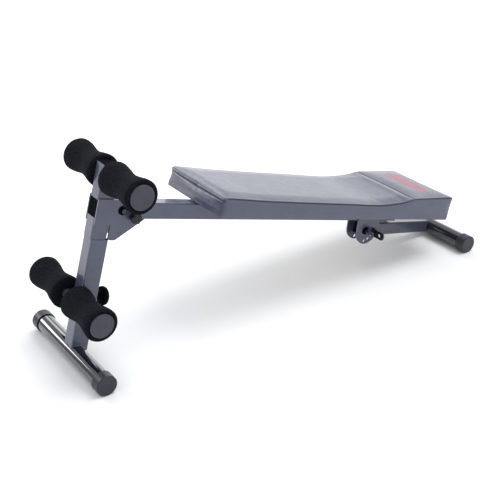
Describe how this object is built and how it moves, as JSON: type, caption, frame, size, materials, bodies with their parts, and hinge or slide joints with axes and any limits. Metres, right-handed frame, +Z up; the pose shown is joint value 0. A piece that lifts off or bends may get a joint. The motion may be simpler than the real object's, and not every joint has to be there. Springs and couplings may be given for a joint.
{
  "type": "decline sit-up bench",
  "caption": "Folding decline sit-up bench: sloped padded board on a square tube, foam ankle rollers on a front post, foldable front frame and adjustable rear leg on cross tubes.",
  "frame": {"origin": "centre of the bench's footprint on the floor, midway between its front-most and rear-most points", "axes": "+X from the foot rollers to the head end, +Y to the left when looking along +X, +Z up"},
  "size_m": [1.3402, 0.383, 0.5298],
  "materials": {
    "frame_paint": "satin",
    "gloss_black_paint": "gloss",
    "zinc_steel": "satin",
    "black_plastic": "matte",
    "foot_cap_plastic": "satin",
    "disc_plastic": "matte",
    "gloss_black_plastic": "gloss",
    "black_steel": "satin",
    "roller_foam": "matte",
    "sleeve_plastic": "satin",
    "pad_board": "matte",
    "pad_vinyl": "satin"
  },
  "bodies": {
    "main_frame": {"main_beam": "frame_paint", "beam_front_plug": "black_plastic", "beam_rear_plug": "black_plastic", "fold_bush": "zinc_steel", "front_pad_plate": "frame_paint", "middle_pad_plate": "frame_paint", "rear_pad_plate": "frame_paint", "pad_board": "pad_board", "back_cushion": "pad_vinyl", "head_cushion": "pad_vinyl", "pad_screws": "zinc_steel", "right_sector_plate": "frame_paint", "left_sector_plate": "frame_paint", "leg_pivot_bolt": "black_steel", "leg_pivot_nut": "black_steel", "leg_pivot_washers": "black_plastic"},
    "front_frame": {"upper_post": "frame_paint", "post_top_plug": "black_plastic", "right_gusset_plate": "frame_paint", "left_gusset_plate": "frame_paint", "fold_bolt": "black_steel", "fold_nut": "black_steel", "fold_washers": "black_plastic", "fold_pin_barrel": "black_steel", "gap_cap": "black_plastic", "upright_stub": "frame_paint", "lower_upright": "frame_paint", "stub_screws": "zinc_steel", "front_stabilizer": "gloss_black_paint", "front_right_foot_cap": "foot_cap_plastic", "front_left_foot_cap": "foot_cap_plastic", "upper_roller_bar": "frame_paint", "lower_roller_bar": "frame_paint", "lower_bar_cradle": "black_plastic", "upper_right_end_disc": "disc_plastic", "upper_left_end_disc": "disc_plastic", "lower_right_end_disc": "disc_plastic", "lower_left_end_disc": "disc_plastic"},
    "upper_right_roller": {"upper_right_foam": "roller_foam", "upper_right_sleeve": "sleeve_plastic"},
    "upper_left_roller": {"upper_left_foam": "roller_foam", "upper_left_sleeve": "sleeve_plastic"},
    "lower_right_roller": {"lower_right_foam": "roller_foam", "lower_right_sleeve": "sleeve_plastic"},
    "lower_left_roller": {"lower_left_foam": "roller_foam", "lower_left_sleeve": "sleeve_plastic"},
    "fold_lock": {"fold_pin": "zinc_steel", "fold_pin_head": "gloss_black_plastic"},
    "clamp_screw": {"clamp_stud": "zinc_steel", "clamp_knob": "black_plastic"},
    "leg_frame": {"rear_leg": "frame_paint", "rear_leg_plug": "black_plastic", "leg_bush": "zinc_steel", "rear_stabilizer": "gloss_black_paint", "rear_right_foot_cap": "foot_cap_plastic", "rear_left_foot_cap": "foot_cap_plastic"},
    "hitch": {"leg_pin": "black_steel", "pull_handle": "black_steel"}
  },
  "joints": [
    {"name": "front_fold", "type": "hinge", "parent": "main_frame", "child": "front_frame", "pos_m": [-0.47838, 0, 0.39309], "axis": [0, -1, 0], "range_deg": [0, 77]},
    {"name": "leg_swing", "type": "hinge", "parent": "main_frame", "child": "leg_frame", "pos_m": [0.34426, 0, 0.09858], "axis": [0, 1, 0], "range_deg": [0, 80]},
    {"name": "upper_right_spin", "type": "hinge", "parent": "front_frame", "child": "upper_right_roller", "pos_m": [-0.49757, -0.0945, 0.4855], "axis": [0, 1, 0], "continuous": true},
    {"name": "upper_left_spin", "type": "hinge", "parent": "front_frame", "child": "upper_left_roller", "pos_m": [-0.49757, 0.0945, 0.4855], "axis": [0, 1, 0], "continuous": true},
    {"name": "lower_right_spin", "type": "hinge", "parent": "front_frame", "child": "lower_right_roller", "pos_m": [-0.62569, -0.0945, 0.18314], "axis": [0, 1, 0], "continuous": true},
    {"name": "lower_left_spin", "type": "hinge", "parent": "front_frame", "child": "lower_left_roller", "pos_m": [-0.62569, 0.0945, 0.18314], "axis": [0, 1, 0], "continuous": true},
    {"name": "fold_pin_pull", "type": "slide", "parent": "front_frame", "child": "fold_lock", "axis": [0, -1, 0], "range_m": [0, 0.012], "stiffness_N_per_m": 700, "springref_m": -0.006},
    {"name": "clamp_turn", "type": "hinge", "parent": "front_frame", "child": "clamp_screw", "pos_m": [-0.56659, 0, 0.16613], "axis": [0.961, 0, -0.2766], "continuous": true},
    {"name": "hitch_pin_pull", "type": "slide", "parent": "main_frame", "child": "hitch", "axis": [0, -1, 0], "range_m": [0, 0.03]}
  ]
}
